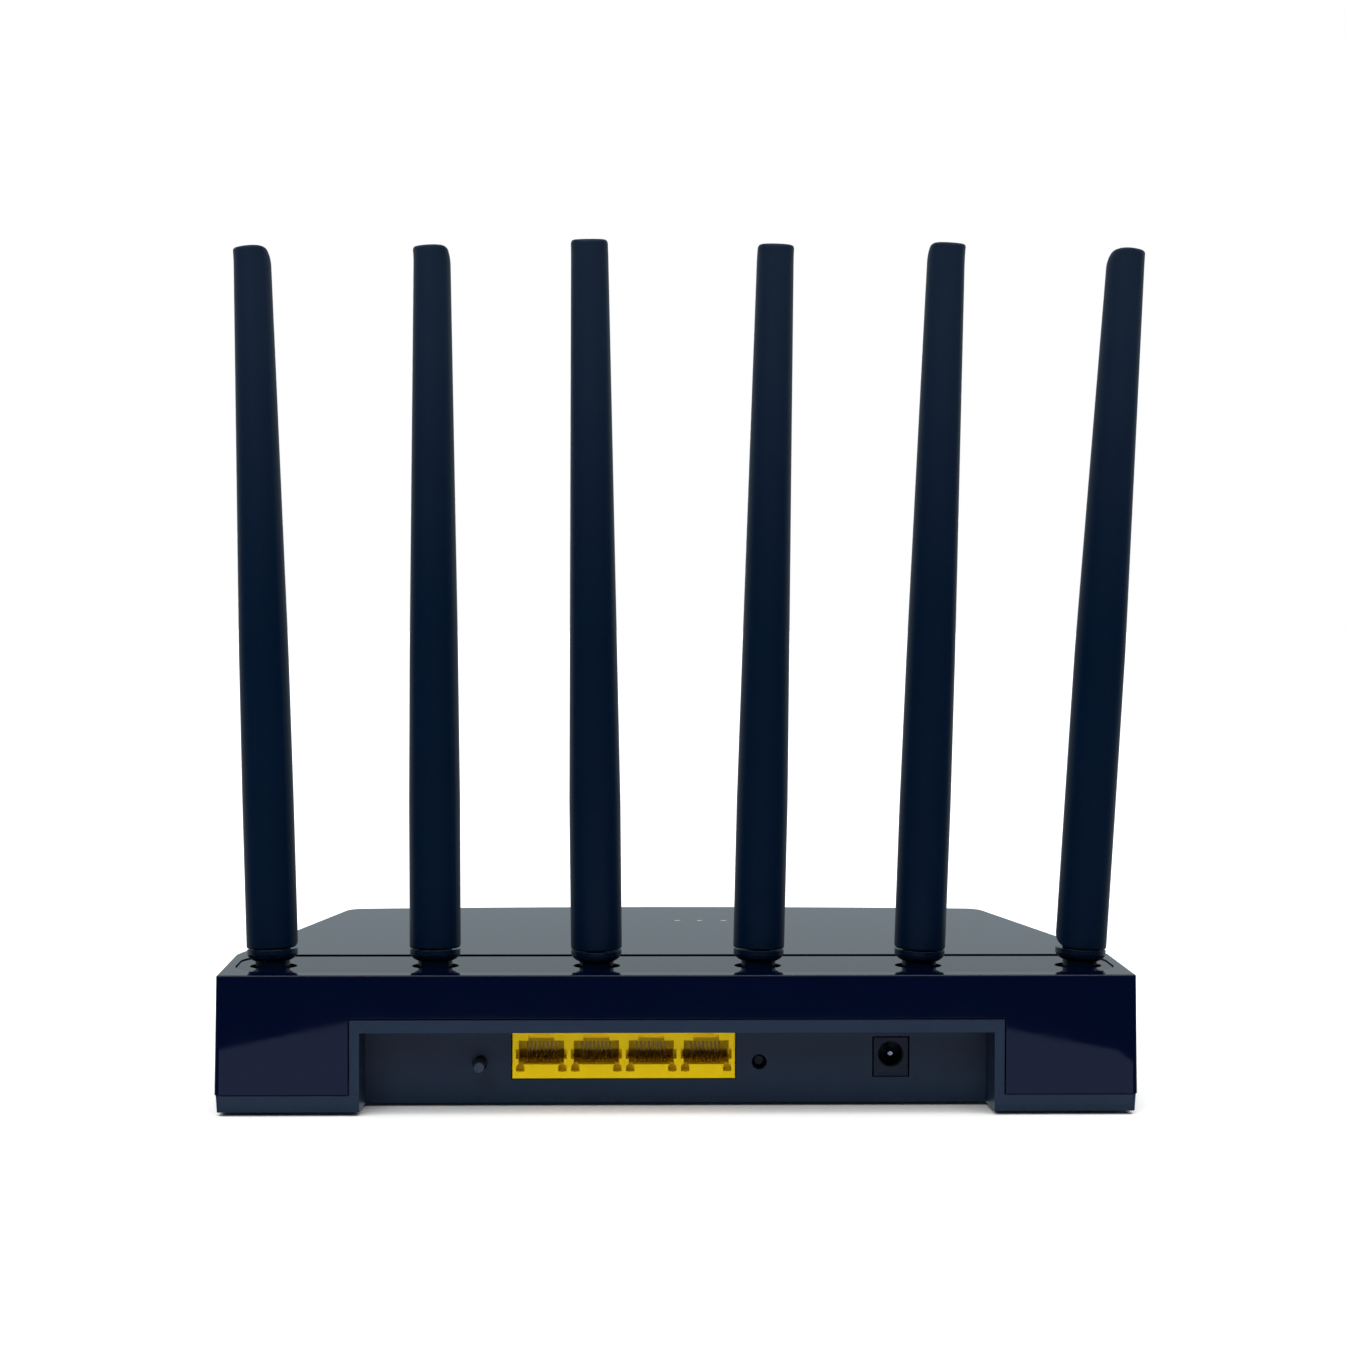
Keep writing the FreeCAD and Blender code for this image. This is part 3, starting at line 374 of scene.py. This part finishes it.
@dataclass(frozen=True)
class BoardFinish(Finish):
    """Solder mask over copper tracks, with a scatter of tinned pads.

    Attributes:
        track: colour of the mask over a track.
        pad: colour of a pad.
        track_pitch: distance from one track to the next.
        track_bands: how often the pattern repeats in one pitch.
        track_wander: how far the tracks stray from straight lines.
        track_ripple: how quickly they stray.
        track_fade: levels of the pattern between which a track's edge lies.
        pad_step: distance from one pad to the next, in track pitches.
        pad_fade: distances from a pad's middle between which its edge lies.
    """

    track: Colour = (0.012, 0.075, 0.03)
    pad: Colour = (0.55, 0.52, 0.45)
    track_pitch: float = 0.0016
    track_bands: float = 0.3
    track_wander: float = 6.0
    track_ripple: float = 0.4
    track_fade: Span = (0.55, 0.62)
    pad_step: float = 3.0
    pad_fade: Span = (0.10, 0.13)

    def colours(self, sheet: Shader) -> Socket:
        """The colour over the board: mask, the tracks under it, and pads.

        Args:
            sheet: the sheet to add the pattern's nodes to.

        Returns:
            The colour.
        """
        wave = sheet.add("ShaderNodeTexWave", wave_type="BANDS", bands_direction="DIAGONAL")
        wave.inputs["Scale"].default_value = self.track_bands / self.track_pitch
        wave.inputs["Distortion"].default_value = self.track_wander
        wave.inputs["Detail Scale"].default_value = self.track_ripple
        sheet.link(sheet.place, wave.inputs["Vector"])
        tracks = sheet.ranged(wave.outputs["Fac"], self.track_fade)
        pads = sheet.ranged(sheet.cells(self.track_pitch * self.pad_step), self.pad_fade, ALL_TO_NONE)
        return sheet.mixed(pads, sheet.mixed(tracks, super().colours(sheet), self.track), self.pad)


GLOSS_COVER = Finish("polished navy-black cover", "gloss_cover", (0.0002, 0.0020, 0.0128),
                     (0.0003, 0.0023, 0.0136), 0.03, (0.035, 0.06), Relief.PEEL, 0.0028, 0.0000016,
                     edge=0.0002)
GLOSS_STRIP = Finish("polished antenna strip", "gloss_strip", (0.0003, 0.0018, 0.0110),
                     (0.0004, 0.0021, 0.0118), 0.02, (0.03, 0.055), Relief.PEEL, 0.0024, 0.0000012,
                     shine=0.20, edge=0.00025)
SATIN_SHELL = Finish("satin navy shell", "satin_shell", (0.0062, 0.0190, 0.0420),
                     (0.0068, 0.0202, 0.0440), 0.015, (0.36, 0.42), Relief.SPARK, 0.00030, 0.000006,
                     edge=0.0002)
SLEEVE = SleeveWithPaintedTipLight("satin antenna sleeve", "antenna_satin", (0.0002, 0.0052, 0.0175),
                       (0.0003, 0.0056, 0.0183), 0.02, (0.29, 0.33), Relief.SPARK, 0.00022, 0.0000035,
                       shine=0.16, edge=0.0002)
KNUCKLE = Finish("satin antenna knuckle", "antenna_satin", (0.0004, 0.0048, 0.0150),
                 (0.0006, 0.0053, 0.0160), 0.006, (0.20, 0.30), Relief.SPARK, 0.00020, 0.000003,
                 shine=0.4)
STEEL = Finish("zinc-plated steel", "steel", (0.52, 0.53, 0.55), (0.44, 0.45, 0.47), 0.002,
               (0.22, 0.38), Relief.TURNED, 0.00015, 0.000006, metal=1.0)
RADIATOR = Finish("white printed radiator board", "radiator_board", (0.58, 0.58, 0.54),
                  (0.50, 0.50, 0.46), 0.004, (0.4, 0.55), Relief.SPARK, 0.0002, 0.000004)
RUBBER = Finish("black rubber foot", "foot_rubber", (0.012, 0.012, 0.013), (0.018, 0.018, 0.019),
                0.004, (0.68, 0.85), Relief.PEBBLE, 0.0004, 0.00003)
NYLON = Finish("black nylon seat", "seat_nylon", (0.010, 0.011, 0.013), (0.015, 0.016, 0.018),
               0.005, (0.42, 0.55), Relief.SPARK, 0.0003, 0.00001)
BOARD = BoardFinish("green solder mask", "board_green", (0.008, 0.055, 0.024), (0.010, 0.062, 0.028),
                    0.02, (0.22, 0.34), Relief.PEEL, 0.0006, 0.00001)
CHIP = Finish("moulded chip", "chip_black", (0.012, 0.012, 0.013), (0.017, 0.017, 0.018), 0.003,
              (0.48, 0.62), Relief.SPARK, 0.00012, 0.000008)
PAD = Finish("grey thermal pad", "thermal_grey", (0.25, 0.26, 0.27), (0.21, 0.22, 0.23), 0.003,
             (0.6, 0.75), Relief.SPARK, 0.0003, 0.00001, soft=0.1)
ALUMINIUM = Finish("extruded aluminium", "aluminium", (0.62, 0.63, 0.65), (0.52, 0.53, 0.55), 0.006,
                   (0.28, 0.42), Relief.BRUSHED, 0.00012, 0.000006, metal=1.0)
TIN = Finish("tin-plated can", "tin_can", (0.66, 0.66, 0.64), (0.55, 0.55, 0.54), 0.004,
             (0.2, 0.34), Relief.BRUSHED, 0.0002, 0.000005, metal=1.0)
SLEEVING = Finish("capacitor sleeve", "capacitor_sleeve", (0.010, 0.016, 0.030), (0.014, 0.021, 0.037),
                  0.004, (0.18, 0.3), Relief.PEEL, 0.0009, 0.000008)
FERRITE = Finish("ferrite", "ferrite", (0.030, 0.030, 0.032), (0.045, 0.044, 0.044), 0.002,
                 (0.6, 0.75), Relief.SPARK, 0.00025, 0.00002)
YELLOW = Finish("yellow socket housing", "lan_yellow", (0.82, 0.57, 0.0), (0.85, 0.60, 0.0), 0.004,
                (0.34, 0.40), Relief.SPARK, 0.00022, 0.000005, soft=0.06, shine=0.1)
# Painted shade: a darker copy of the socket yellow, standing in for the shade inside the socket.
SOCKET_YELLOW_SHADED = Finish("contact carrier with painted shade", "lan_olive", (0.66, 0.47, 0.003), (0.62, 0.44, 0.003), 0.002,
               (0.4, 0.5), Relief.SPARK, 0.0002, 0.000006, shine=0.12)
GOLD = Finish("gold-flashed contact", "contact_gold", (0.50, 0.33, 0.06), (0.40, 0.26, 0.05), 0.001,
              (0.16, 0.3), Relief.BRUSHED, 0.0001, 0.000003, metal=1.0)
JACK = Finish("black jack body", "jack_black", (0.0030, 0.0080, 0.0160), (0.0036, 0.0090, 0.0175),
              0.003, (0.3, 0.4), Relief.SPARK, 0.00025, 0.000008)
NICKEL = Finish("nickel-plated brass", "nickel", (0.66, 0.63, 0.58), (0.56, 0.53, 0.48), 0.002,
                (0.12, 0.24), Relief.TURNED, 0.00012, 0.000003, metal=1.0)
BUTTON = Finish("grey-blue button", "button_grey", (0.020, 0.032, 0.050), (0.026, 0.039, 0.058), 0.002,
                (0.3, 0.4), Relief.SPARK, 0.0002, 0.000005)
RESET = Finish("black reset cap", "reset_black", (0.004, 0.007, 0.012), (0.006, 0.009, 0.015), 0.002,
               (0.35, 0.45), Relief.SPARK, 0.0002, 0.000005)
CLEAR = Finish("clear light pipe", "light_clear", (0.86, 0.88, 0.90), (0.80, 0.83, 0.86), 0.002,
               (0.12, 0.2), Relief.PEEL, 0.0006, 0.000004, clear=0.6, soft=0.2)
LAMP = Finish("lamp lens", "lamp_white", (0.82, 0.80, 0.66), (0.76, 0.74, 0.60), 0.0008,
              (0.2, 0.3), Relief.PEEL, 0.0003, 0.000004, soft=0.3)
LEAD = Finish("black lead jacket", "lead_black", (0.010, 0.010, 0.011), (0.015, 0.015, 0.016), 0.003,
              (0.3, 0.42), Relief.PEEL, 0.0006, 0.000006)
BRASS = Finish("brass plug", "brass", (0.60, 0.42, 0.14), (0.48, 0.33, 0.11), 0.001,
               (0.2, 0.32), Relief.TURNED, 0.0001, 0.000004, metal=1.0)


class Wardrobe:
    """Keeps one material per finish and puts it on the frame's pieces."""

    def __init__(self) -> None:
        """Starts with no material made."""
        self.made: dict[str, bpy.types.Material] = {}

    def material(self, finish: Finish) -> bpy.types.Material:
        """The finish's material, made the first time that it is asked for.

        Args:
            finish: the finish.

        Returns:
            Its material.
        """
        if finish.name not in self.made:
            self.made[finish.name] = finish.build()
        return self.made[finish.name]

    def dress(self, node: str, finish: Finish) -> None:
        """Gives one CAD piece its finish.

        Args:
            node: the CAD node's name.
            finish: the finish to put on it.
        """
        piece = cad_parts[node]
        piece.data.materials.clear()
        piece.data.materials.append(self.material(finish))
        LOG.info("dressed %s in %s", node, finish.name)


@dataclass
class SubAssembly:
    """A group of CAD pieces that are dressed together.

    Attributes:
        wardrobe: the shared store of materials.
        finishes: finish of each CAD node in the group.
    """

    wardrobe: Wardrobe
    finishes: dict[str, Finish] = field(default_factory=dict)

    def build(self) -> None:
        """Dresses every piece of the group."""
        for node, finish in self.finishes.items():
            self.wardrobe.dress(node, finish)


@dataclass
class Case(SubAssembly):
    """Cover, antenna strip, shell, feet and screws."""

    finishes: dict[str, Finish] = field(default_factory=lambda: {
        "top_cover": GLOSS_COVER, "antenna_strip": GLOSS_STRIP, "bottom_shell": SATIN_SHELL,
        "rubber_feet": RUBBER, "case_screws": STEEL})


@dataclass
class Antenna(SubAssembly):
    """One folding antenna: knuckle, sleeve, hinge pin and the radiator inside.

    Attributes:
        number: its place from the left, from 1.
    """

    number: int = 1

    def build(self) -> None:
        """Dresses the antenna's four pieces."""
        parts = {"knuckle": KNUCKLE, "blade": SLEEVE, "pin": KNUCKLE, "radiator": RADIATOR}
        self.finishes = {f"antenna_{self.number}_{part}": finish for part, finish in parts.items()}
        super().build()


@dataclass
class Seats(SubAssembly):
    """What holds the antennas' balls under the cover, and the leads that leave them."""

    finishes: dict[str, Finish] = field(default_factory=lambda: {
        "antenna_seats": NYLON, "antenna_retainers": NYLON, "retainer_screws": STEEL,
        "coax_leads": LEAD, "coax_plugs": BRASS, "coax_sockets": BRASS})


@dataclass
class Board(SubAssembly):
    """Main board and what stands on it."""

    finishes: dict[str, Finish] = field(default_factory=lambda: {
        "main_board": BOARD, "board_screws": STEEL, "processor": CHIP, "memory_chips": CHIP,
        "radio_chips": CHIP, "radio_cans": TIN, "thermal_pad": PAD, "heat_sink": ALUMINIUM,
        "magnetics": CHIP, "capacitors": SLEEVING, "inductors": FERRITE, "crystal": TIN,
        "push_switch": CHIP, "reset_switch": CHIP})


@dataclass
class PortPanel(SubAssembly):
    """Sockets, power jack and the two buttons."""

    finishes: dict[str, Finish] = field(default_factory=lambda: {
        "lan_housing": YELLOW, "lan_carriers": SOCKET_YELLOW_SHADED, "lan_contacts": GOLD, "jack_body": JACK,
        "jack_pin": NICKEL, "jack_spring": NICKEL, "push_button": BUTTON, "reset_cap": RESET})


@dataclass
class Lights(SubAssembly):
    """Indicator lamps, the pipes over them and the bracket that holds the pipes."""

    finishes: dict[str, Finish] = field(default_factory=lambda: {
        "light_pipes": CLEAR, "light_chips": LAMP, "light_guide": NYLON})


@dataclass
class Softbox:
    """A flat studio light.

    Attributes:
        name: what it is called.
        place: its middle.
        target: the point that it faces.
        size: width and height.
        power: watts.
        mirrored: whether gloss surfaces show it.
    """

    name: str
    place: Point
    target: Point
    size: Span
    power: float
    mirrored: bool = True

    def build(self) -> None:
        """Makes the light."""
        data = bpy.data.lights.new(self.name, "AREA")
        data.shape = "RECTANGLE"
        data.size, data.size_y = self.size
        data.energy = self.power
        lamp = bpy.data.objects.new(self.name, data)
        lamp.location = self.place
        lamp.rotation_euler = (Vector(self.target) - lamp.location).to_track_quat("-Z", "Y").to_euler()
        lamp.visible_glossy = self.mirrored
        lamp.visible_camera = False
        bpy.context.scene.collection.objects.link(lamp)
        LOG.info("lit the %s", self.name)


@dataclass
class Studio:
    """Floor, light and camera.

    Attributes:
        floor_half: half the floor's width.
        floor_shade: the floor's grey.
        floor_grain: width of its faint patches.
        floor_fade: where the patches fade in.
        floor_dim: how bright a patch is against the floor.
        floor_matt: the floor's roughness.
        wall_glow: what gloss surfaces see behind the router.
        dusk_glow: what they see in front of it.
        sky_glow: what they see overhead.
        wall_fade: directions between which the front gives way to the back.
        sky_fade: directions between which both give way to the overhead glow.
        card_glow: brightness of the low card in front of the sockets.
        card_tint: its colour.
        card_reach: rear face to its near edge, to where it starts to narrow and to its far edge.
        card_half: half its width at its near and far edge.
        card_drop: how far it lies under the floor.
        daylight: strength of the broad overhead light.
        daylight_spread: how broad it is, in degrees.
        fill_place: middle of the front fill.
        fill_size: its width and height.
        fill_power: its watts.
        fill_aim: height that it faces, as a share of the router's height.
        edge_place: middle of the light over the rear edge.
        edge_size: its width and height.
        edge_power: its watts.
        edge_aim: height on the rear face that it faces.
        camera_back: rear face to the camera.
        camera_up: top face to the camera.
        camera_side: camera to the right of the body's middle.
        tilt: how far the camera looks down, in degrees.
        turn: how far it looks to the right.
        roll: how far it leans to the left.
        lens: focal length in millimetres.
        sensor: width of the sensor in millimetres.
        sight: nearest and farthest distance that the camera sees.
    """

    floor_half: float = 6.0
    floor_shade: float = 0.93
    floor_grain: float = 0.004
    floor_fade: Span = (0.3, 0.7)
    floor_dim: float = 0.99
    floor_matt: float = 0.8
    wall_glow: Colour = (0.33, 0.385, 0.41)
    dusk_glow: Colour = (0.012, 0.014, 0.02)
    sky_glow: Colour = (0.5, 0.5, 0.5)
    wall_fade: Span = (-0.15, 0.55)
    sky_fade: Span = (0.35, 0.8)
    card_glow: float = 0.58
    card_tint: Colour = (0.53, 0.62, 1.0)
    card_reach: Point = (0.010, 0.127, 0.198)
    card_half: Span = (0.134, 0.0985)
    card_drop: float = 0.001
    daylight: float = 3.3
    daylight_spread: float = 120.0
    fill_place: Point = (-0.5, -1.6, 1.1)
    fill_size: Span = (1.2, 0.8)
    fill_power: float = 8.0
    fill_aim: float = 0.4
    edge_place: Point = (0.0, -0.25, 1.3)
    edge_size: Span = (1.6, 0.25)
    edge_power: float = 4.0
    edge_aim: float = 0.03
    camera_back: float = 0.69825
    camera_up: float = 0.09984
    camera_side: float = -0.02027
    tilt: float = 1.995
    turn: float = 1.5395
    roll: float = 0.1575
    lens: float = 75.206
    sensor: float = 36.0
    sight: Span = (0.01, 50.0)

    def build_floor(self) -> None:
        """Makes the plain floor, which gloss surfaces don't mirror."""
        s = self.floor_half
        mesh = bpy.data.meshes.new("floor")
        mesh.from_pydata([(-s, -s, 0), (s, -s, 0), (s, s, 0), (-s, s, 0)], [], [(0, 1, 2, 3)])
        floor = bpy.data.objects.new("floor", mesh)
        bpy.context.scene.collection.objects.link(floor)
        sheet = Shader("pale floor")
        grey = (self.floor_shade,) * 3
        patches = sheet.ranged(sheet.noise(self.floor_grain, 3.0), self.floor_fade)
        sheet.link(sheet.mixed(patches, grey, tuple(level * self.floor_dim for level in grey)),
                   sheet.surface.inputs["Base Color"])
        sheet.set(Roughness=self.floor_matt, Specular_IOR_Level=0.0)
        mesh.materials.append(sheet.material)
        floor.visible_glossy = False
        floor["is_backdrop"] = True

    def build_world(self) -> None:
        """Makes the surroundings: white to the eye, and graded for what gloss surfaces mirror."""
        world = bpy.data.worlds.new("studio")
        world.use_nodes = True
        ground = world.node_tree.nodes["Background"]
        sheet = Sheet(world.node_tree, "Generated")
        level = sheet.mixed(sheet.ranged(sheet.along("Y"), self.wall_fade), self.dusk_glow, self.wall_glow)
        graded = sheet.mixed(sheet.ranged(sheet.along("Z"), self.sky_fade), level, self.sky_glow)
        eye = sheet.add("ShaderNodeLightPath").outputs["Is Camera Ray"]
        sheet.link(sheet.mixed(eye, graded, WHITE), ground.inputs["Color"])
        bpy.context.scene.world = world

    def build_daylight(self) -> None:
        """Makes the broad overhead light that evens out the floor."""
        data = bpy.data.lights.new("overhead", "SUN")
        data.energy = self.daylight
        data.angle = math.radians(self.daylight_spread)
        lamp = bpy.data.objects.new("overhead", data)
        lamp.visible_glossy = False
        bpy.context.scene.collection.objects.link(lamp)

    def build_softboxes(self, rear: float, height: float) -> None:
        """Places the flat lights.

        Args:
            rear: Y of the rear face.
            height: the router's height.
        """
        Softbox("front fill", self.fill_place, (0.0, 0.0, height * self.fill_aim), self.fill_size,
                self.fill_power, mirrored=False).build()
        Softbox("edge light", self.edge_place, (0.0, rear, self.edge_aim), self.edge_size,
                self.edge_power).build()

    def build_card(self, rear: float) -> None:
        """Makes the pale card that the rear face mirrors low down.

        Args:
            rear: Y of the rear face.
        """
        near, knee, far = (rear - reach for reach in self.card_reach)
        wide, narrow = self.card_half
        outline = [(-wide, near), (wide, near), (wide, knee), (narrow, far), (-narrow, far), (-wide, knee)]
        mesh = bpy.data.meshes.new("card")
        mesh.from_pydata([(x, y, -self.card_drop) for x, y in outline], [], [tuple(range(len(outline)))])
        card = bpy.data.objects.new("card", mesh)
        bpy.context.scene.collection.objects.link(card)
        sheet = Shader("glowing card")
        sheet.set(Base_Color=(0, 0, 0, 1), Emission_Color=(*self.card_tint, 1.0),
                  Emission_Strength=self.card_glow)
        mesh.materials.append(sheet.material)
        card.visible_camera = False
        card.visible_diffuse = False
        card.visible_shadow = False
        card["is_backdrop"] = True

    def build_camera(self, rear: float, top: float) -> None:
        """Places the camera.

        Args:
            rear: Y of the rear face.
            top: Z of the top face.
        """
        data = bpy.data.cameras.new("camera")
        data.sensor_width = self.sensor
        data.lens = self.lens
        data.clip_start, data.clip_end = self.sight
        camera = bpy.data.objects.new("camera", data)
        camera.location = (self.camera_side, rear - self.camera_back, top + self.camera_up)
        facing = Matrix.Rotation(-math.radians(self.turn), 3, "Z")
        facing @= Matrix.Rotation(math.radians(90 - self.tilt), 3, "X")
        facing @= Matrix.Rotation(math.radians(self.roll), 3, "Z")
        camera.rotation_euler = facing.to_euler()
        bpy.context.scene.collection.objects.link(camera)
        bpy.context.scene.camera = camera

    def build(self) -> None:
        """Makes the whole studio around the router."""
        low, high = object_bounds()
        body_low, body_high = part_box("top_cover")
        self.build_camera(body_low.y, body_high.z)
        self.build_floor()
        self.build_world()
        self.build_daylight()
        self.build_softboxes(low.y, high.z)
        self.build_card(body_low.y)
        bpy.context.scene.view_settings.view_transform = "Standard"
        LOG.info("set up the studio")


def main() -> None:
    """Builds the studio and every sub-assembly."""
    logging.basicConfig(level=logging.INFO, format="%(name)s: %(message)s")
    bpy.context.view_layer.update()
    wardrobe = Wardrobe()
    Studio().build()
    Case(wardrobe).build()
    for number in range(1, ANTENNAS + 1):
        Antenna(wardrobe, number=number).build()
    for group in (Seats, Board, PortPanel, Lights):
        group(wardrobe).build()


if __name__ == "__main__":
    main()
